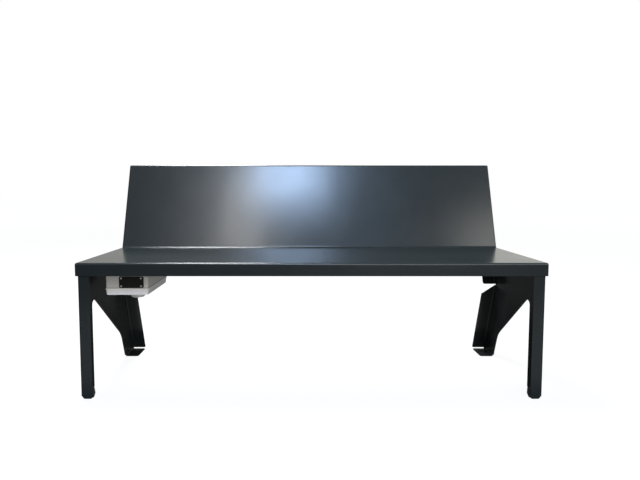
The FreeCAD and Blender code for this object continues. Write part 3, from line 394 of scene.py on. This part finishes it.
def powder_coat(name, dark, light):
    """Semi-gloss powder coat on folded sheet."""
    sheet_wave = 0.30
    wave_depth = 0.0006
    dent_size = 0.06
    dent_depth = 0.00010
    streak_width = 0.024
    streak_length = 0.50
    streak_depth = 0.00006
    peel_size = 0.0016
    peel_depth = 0.000012
    smudge_size = 0.12
    material, place = new_finish(name, Specular_IOR_Level=0.5)
    smudge = noise(place, smudge_size, detail=4.0, rough=0.6)
    wave = bump(noise(place, sheet_wave, detail=1.0), wave_depth)
    dents = bump(noise(place, dent_size), dent_depth, wave)
    drawn_out = place.node("ShaderNodeVectorMath", {"operation": "DIVIDE"}, {
        0: place, 1: (streak_width, streak_length, streak_length)})
    streaks = bump(noise(drawn_out, 1.0), streak_depth, dents)
    peel = bump(noise(place, peel_size), peel_depth, streaks)
    dress(material, smudge, dark, light, rough=0.18, rough_spread=0.07, relief=peel)
    return material


anthracite = powder_coat("anthracite_coat", (0.0152, 0.0190, 0.0198), (0.0184, 0.0230, 0.0238))
print("made", anthracite.name)

# %% [markdown]
# ## Metals
# Behind the painted sheets there is bare metal. The covers and rails are galvanised, and zinc
# freezes on steel in flat crystals of different brightness. A Voronoi texture gives just such
# cells. Screws and nuts are plated with a thinner, smoother zinc, and the screws of the entry
# plate are stainless, which is a little warmer and duller.

# %% Metal materials
def galvanised(name):
    """Hot-dip zinc with its crystals."""
    spangle_size = 0.009
    grain_size = 0.0008
    grain_depth = 0.000008
    material, place = new_finish(name, Metallic=1.0)
    cells = place.node("ShaderNodeTexVoronoi", inputs={
        "Vector": place, "Scale": 1.0 / spangle_size}, output="Color")
    shade = cells.node("ShaderNodeRGBToBW", inputs={0: cells})
    grain = bump(noise(place, grain_size), grain_depth)
    dress(material, shade, dark=(0.42, 0.44, 0.46), light=(0.60, 0.62, 0.64), rough=0.30,
          rough_spread=0.22, relief=grain)
    return material


def plated(name, dark, light, rough):
    """Smooth, slightly cloudy metal of small parts."""
    cloud_size = 0.004
    grain_size = 0.0005
    grain_depth = 0.000010
    material, place = new_finish(name, Metallic=1.0)
    cloud = noise(place, cloud_size, detail=3.0)
    grain = bump(noise(place, grain_size), grain_depth)
    dress(material, cloud, dark, light, rough, rough_spread=0.14, relief=grain)
    return material


galvanised_sheet = galvanised("galvanised_spangle")
bright_zinc = plated("bright_zinc", (0.56, 0.57, 0.60), (0.70, 0.71, 0.73), rough=0.22)
stainless = plated("turned_stainless", (0.58, 0.57, 0.55), (0.72, 0.71, 0.69), rough=0.26)
print("made", galvanised_sheet.name, bright_zinc.name, stainless.name)

# %% [markdown]
# ## Plastics, rubber and foam
# The box is coated in a pale warm grey with a slight texture. Its fittings are moulded in black or
# grey plastic from spark-eroded moulds, which leave a fine matt grain. The hidden heating
# mats are silicone pressed on a woven glass cloth, and the weave shows through. One
# function for a grainy skin makes most of these, each with its own colours and grain.

# %% Moulded materials
def moulded(name, dark, light, rough, grain_size, grain_depth, gloss=0.5):
    """A grainy skin, moulded or sprayed."""
    cloud_size = 0.02
    material, place = new_finish(name, Specular_IOR_Level=gloss)
    cloud = noise(place, cloud_size, detail=3.0)
    grain = bump(noise(place, grain_size), grain_depth)
    dress(material, cloud, dark, light, rough, rough_spread=0.12, relief=grain)
    return material


def woven_silicone(name):
    """Silicone on woven glass cloth."""
    thread = 0.0022
    thread_depth = 0.00006
    material, place = new_finish(name)
    axes = place.node("ShaderNodeSeparateXYZ", inputs={0: place})
    warp = place.math("SINE", axes * (2 * pi / thread))
    weft = place.math("SINE", axes.beside("Y") * (2 * pi / thread))
    weave = 0.5 + 0.5 * (warp * weft)
    dress(material, weave, dark=(0.30, 0.060, 0.024), light=(0.42, 0.090, 0.036), rough=0.5,
          rough_spread=0.1, relief=bump(weave, thread_depth))
    return material


def closed_foam(name):
    """Foam with small closed cells."""
    cell_size = 0.0014
    cell_depth = 0.00012
    material, place = new_finish(name)
    cells = place.node("ShaderNodeTexVoronoi", inputs={
        "Vector": place, "Scale": 1.0 / cell_size}, output="Distance")
    dress(material, cells, dark=(0.026, 0.027, 0.030), light=(0.052, 0.053, 0.056), rough=0.80,
          rough_spread=0.12, relief=bump(cells, cell_depth))
    return material


# The lid's coat is the box coat painted paler: painted light where the lid catches more light than
# the box under the seat.
lid_coat_painted_lighter = moulded("box_coat_painted_lighter", (0.78, 0.76, 0.745), (0.86, 0.84, 0.825), rough=0.38,
                   grain_size=0.0012, grain_depth=0.00003)
box_grey = moulded("box_grey_coat", (0.56, 0.54, 0.51), (0.62, 0.60, 0.57), rough=0.42,
                   grain_size=0.0012, grain_depth=0.00003)
cap_grey = moulded("cap_pale_plastic", (0.80, 0.80, 0.78), (0.86, 0.86, 0.84), rough=0.42,
                   grain_size=0.0009, grain_depth=0.00002)
black_plastic = moulded("black_plastic_grain", (0.004, 0.004, 0.004), (0.008, 0.008, 0.007),
                        rough=0.52, grain_size=0.0007, grain_depth=0.00003, gloss=0.2)
device_grey = moulded("device_grey_plastic", (0.40, 0.41, 0.41), (0.46, 0.47, 0.47), rough=0.44,
                      grain_size=0.0008, grain_depth=0.00002)
rubber = moulded("black_rubber", (0.014, 0.014, 0.014), (0.022, 0.022, 0.022), rough=0.70,
                 grain_size=0.0010, grain_depth=0.00003)
sheath = moulded("lead_sheath", (0.10, 0.10, 0.10), (0.14, 0.14, 0.14), rough=0.50,
                 grain_size=0.0016, grain_depth=0.00002)
potting = moulded("potting_resin", (0.010, 0.010, 0.012), (0.018, 0.018, 0.020), rough=0.20,
                  grain_size=0.0060, grain_depth=0.00010)
mat_silicone = woven_silicone("woven_silicone")
foam = closed_foam("closed_cell_foam")
print("made", len(bpy.data.materials), "materials so far")

# %% [markdown]
# ## Finishes on the pieces
# Each CAD piece came with a plain material named after its slot in the record. The shapes
# are right as they are, so the pieces stay, and each slot's plain material gives way to
# the detailed one. Going by slot means that no piece can be forgotten. Only the lid differs
# from its slot: it gets a copy of the box coat painted paler, as painted light on the lid,
# while the box body under the seat keeps the darker coat.

# %% Finish every piece
finish_of_slot = {
    "powder_coat": anthracite, "galvanised_sheet": galvanised_sheet, "zinc_plate": bright_zinc,
    "stainless": stainless, "mat_silicone": mat_silicone, "insulation_foam": foam,
    "potting": potting, "lead_sheath": sheath, "seal_rubber": rubber, "box_coat": box_grey,
    "pale_plastic": cap_grey, "black_plastic": black_plastic, "device_grey": device_grey}
for name, node in nodes.items():
    slot_name = node.data.materials[0].name.split(".")[0]
    node.data.materials[0] = finish_of_slot[slot_name]
# The lid's paler copy of the box coat is painted light.
nodes["box_lid"].data.materials[0] = lid_coat_painted_lighter
print("finished", len(nodes), "pieces")

# %% [markdown]
# ## A screw head
# A pan head is pressed from wire: a low drum with a rounded rim and a cross for the driver. It
# could be modelled by hand, but Geometry Nodes build it from its sizes, so that one recipe fits
# every screw. The rim is made by lifting the drum's top a little and shrinking it, three times
# over, and the cross is cut out by two crossed blades.

# %% Screw head
rim_steps = 3
drum_sides = 40
quarter_turn = radians(90)


def set_down(wire, shape, drop):
    """A shape moved down by a distance."""
    offset = wire.node("ShaderNodeCombineXYZ", inputs={"Z": 0.0 - drop})
    return wire.node("GeometryNodeTransform", inputs={"Geometry": shape, "Translation": offset})


def drum(wire, radius, depth):
    """An upright cylinder around the origin."""
    return wire.node("GeometryNodeMeshCylinder", inputs={
        "Vertices": drum_sides, "Radius": radius, "Depth": depth})


def screw_head(wire, size):
    """A drum whose top is lifted and shrunk along a quarter round, less a cross."""
    straight = size["Head Height"] - size["Rim Radius"]
    top = drum(wire, size["Head Radius"], straight)
    chosen = top.beside("Top")
    head = set_down(wire, top, size["Rim Radius"] + 0.5 * straight)
    for step in range(rim_steps):
        angle = quarter_turn * step / rim_steps
        next_angle = quarter_turn * (step + 1) / rim_steps
        lift = size["Rim Radius"] * (sin(next_angle) - sin(angle))
        ring = size["Head Radius"] - size["Rim Radius"] * (1.0 - cos(angle))
        next_ring = size["Head Radius"] - size["Rim Radius"] * (1.0 - cos(next_angle))
        lifted = wire.node("GeometryNodeExtrudeMesh", {"mode": "FACES"}, {
            "Mesh": head, "Selection": chosen, "Offset Scale": lift, "Individual": False})
        chosen = lifted.beside("Top")
        head = wire.node("GeometryNodeScaleElements", inputs={
            "Geometry": lifted, "Selection": chosen, "Scale": next_ring / ring})
    blades = []
    for first, second in (("X", "Y"), ("Y", "X")):
        blade = wire.node("ShaderNodeCombineXYZ", inputs={
            first: size["Cross Length"], second: size["Cross Width"], "Z": 2.0 * size["Cross Depth"]})
        blades.append(wire.node("GeometryNodeMeshCube", inputs={"Size": blade}))
    return wire.node("GeometryNodeMeshBoolean", {"operation": "DIFFERENCE"}, {
        "Mesh 1": head, "Mesh 2": blades})


print("a head has", drum_sides, "sides and", rim_steps, "steps in its rim")

# %% [markdown]
# ## Screws on points
# The CAD has each screw in its place with a plain round recess. The tree takes those places as
# points, sets a screw on each and turns it by a random angle, because nobody lines up the
# crosses. Its sizes are named inputs, so that one tree serves all kinds of screws.

# %% Screw tree
screw_inputs = {
    "Head Radius": 0.004, "Head Height": 0.0024, "Rim Radius": 0.001, "Length": 0.010,
    "Shank Radius": 0.002, "Cross Length": 0.0046, "Cross Width": 0.0009, "Cross Depth": 0.0011}
# A Random Value node keeps sockets for each type of number, so those for floats go by their index
float_min = 2
float_max = 3
float_value = 1


def screw_nodes():
    """A node tree that sets a pan-head screw on every point of a mesh."""
    tree = bpy.data.node_groups.new("pan_head_screws", "GeometryNodeTree")
    tree.interface.new_socket("Points", in_out="INPUT", socket_type="NodeSocketGeometry")
    for name, value in screw_inputs.items():
        socket = tree.interface.new_socket(name, in_out="INPUT", socket_type="NodeSocketFloat")
        socket.default_value = value
    tree.interface.new_socket("Axis Turn", in_out="INPUT", socket_type="NodeSocketVector")
    tree.interface.new_socket("Seed", in_out="INPUT", socket_type="NodeSocketInt")
    tree.interface.new_socket("Finish", in_out="INPUT", socket_type="NodeSocketMaterial")
    tree.interface.new_socket("Screws", in_out="OUTPUT", socket_type="NodeSocketGeometry")
    wire = Wire(tree)
    given = wire.node("NodeGroupInput")
    size = {name: given.beside(name) for name in screw_inputs}
    shank_length = size["Length"] - size["Head Height"]
    shank = drum(wire, size["Shank Radius"], shank_length)
    shank = set_down(wire, shank, size["Head Height"] + 0.5 * shank_length)
    screw = wire.node("GeometryNodeJoinGeometry", inputs={
        "Geometry": [screw_head(wire, size), shank]})
    placed = wire.node("GeometryNodeInstanceOnPoints", inputs={
        "Points": given, "Instance": screw, "Rotation": given.beside("Axis Turn")})
    turn = wire.node("FunctionNodeRandomValue", {"data_type": "FLOAT"}, {
        float_min: 0.0, float_max: pi, "Seed": given.beside("Seed")}, output=float_value)
    spin = wire.node("ShaderNodeCombineXYZ", inputs={"Z": turn})
    turned = wire.node("GeometryNodeRotateInstances", inputs={
        "Instances": placed, "Rotation": spin, "Local Space": True})
    real = wire.node("GeometryNodeRealizeInstances", inputs={"Geometry": turned})
    coated = wire.node("GeometryNodeSetMaterial", inputs={
        "Geometry": real, "Material": given.beside("Finish")})
    wire.node("NodeGroupOutput", inputs={"Screws": coated})
    return tree


screw_tree = screw_nodes()
print("screw tree with", len(screw_tree.nodes), "nodes")

# %% [markdown]
# ## Screws in place
# The places come from the CAD pieces themselves. The points of a piece are grouped into separate
# screws by their distance across the screw axis, and each group gives the middle of a head,
# its radius and the screw's length. Typing the places in again would be a second truth
# that could drift from the first.

# %% Screws in place
screw_reach = 0.012
shank_share = 0.5
cross_length_share = 1.15
cross_width_share = 0.24
round_edge = radians(35)
millimetres = 1000


def span(points, direction):
    """Middle and half width of some points along a direction."""
    shares = [point.dot(direction) for point in points]
    return (max(shares) + min(shares)) / 2, (max(shares) - min(shares)) / 2


def single_screws(node, axis):
    """The points of each separate screw of a CAD piece."""
    groups = []
    for vertex in node.data.vertices:
        for group in groups:
            away = vertex.co - group[0]
            if (away - axis * away.dot(axis)).length < screw_reach:
                group.append(vertex.co)
                break
        else:
            groups.append([vertex.co])
    return groups


def set_screws(name, body, axis, finish, seed):
    """Replaces a CAD piece of equal screws; the axis points from the head to the tip."""
    across = axis.orthogonal().normalized()
    sideways = axis.cross(across)
    tops = []
    for points in single_screws(nodes[name], axis):
        middle = span(points, across)[0]
        other_middle, head_radius = span(points, sideways)
        depth, half_length = span(points, axis)
        tops.append(across * middle + sideways * other_middle + axis * (depth - half_length))
    mesh = bpy.data.meshes.new(name + "_places")
    mesh.from_pydata(tops, [], [])
    maker = bpy.data.objects.new(name + "_maker", mesh)
    bpy.context.scene.collection.objects.link(maker)
    modifier = maker.modifiers.new("screws", "NODES")
    modifier.node_group = screw_tree
    values = {
        "Head Radius": head_radius, "Length": half_length * 2,
        "Shank Radius": head_radius * shank_share,
        "Cross Length": head_radius * cross_length_share,
        "Cross Width": head_radius * cross_width_share,
        "Axis Turn": (-axis).to_track_quat("Z", "Y").to_euler(), "Seed": seed, "Finish": finish}
    for socket in screw_tree.interface.items_tree:
        if socket.name in values:
            modifier[socket.identifier] = values[socket.name]
    bpy.context.view_layer.update()
    seen = maker.evaluated_get(bpy.context.evaluated_depsgraph_get())
    made = bpy.data.meshes.new_from_object(seen)
    made.polygons.foreach_set("use_smooth", [True] * len(made.polygons))
    made.set_sharp_from_angle(angle=round_edge)
    screws = bpy.data.objects.new(name + "_made", made)
    bpy.context.scene.collection.objects.link(screws)
    bpy.data.objects.remove(maker)
    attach(screws, body)
    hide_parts(name)
    head_width = round(2 * head_radius * millimetres, 1)
    print(name, len(tops), "screws, heads", head_width, "mm across,", len(made.polygons), "faces")


upward = Vector((0, 0, 1))
rearward = Vector((0, 1, 0))
set_screws("entry_plate_screws", "bench", rearward, stainless, seed=1)
set_screws("lid_screws", "lid", upward, bright_zinc, seed=2)
set_screws("box_screws", "bench", upward, bright_zinc, seed=3)
set_screws("bottom_cover_screws", "bench", upward, bright_zinc, seed=4)
set_screws("back_cover_screws", "bench", back_normal, bright_zinc, seed=5)
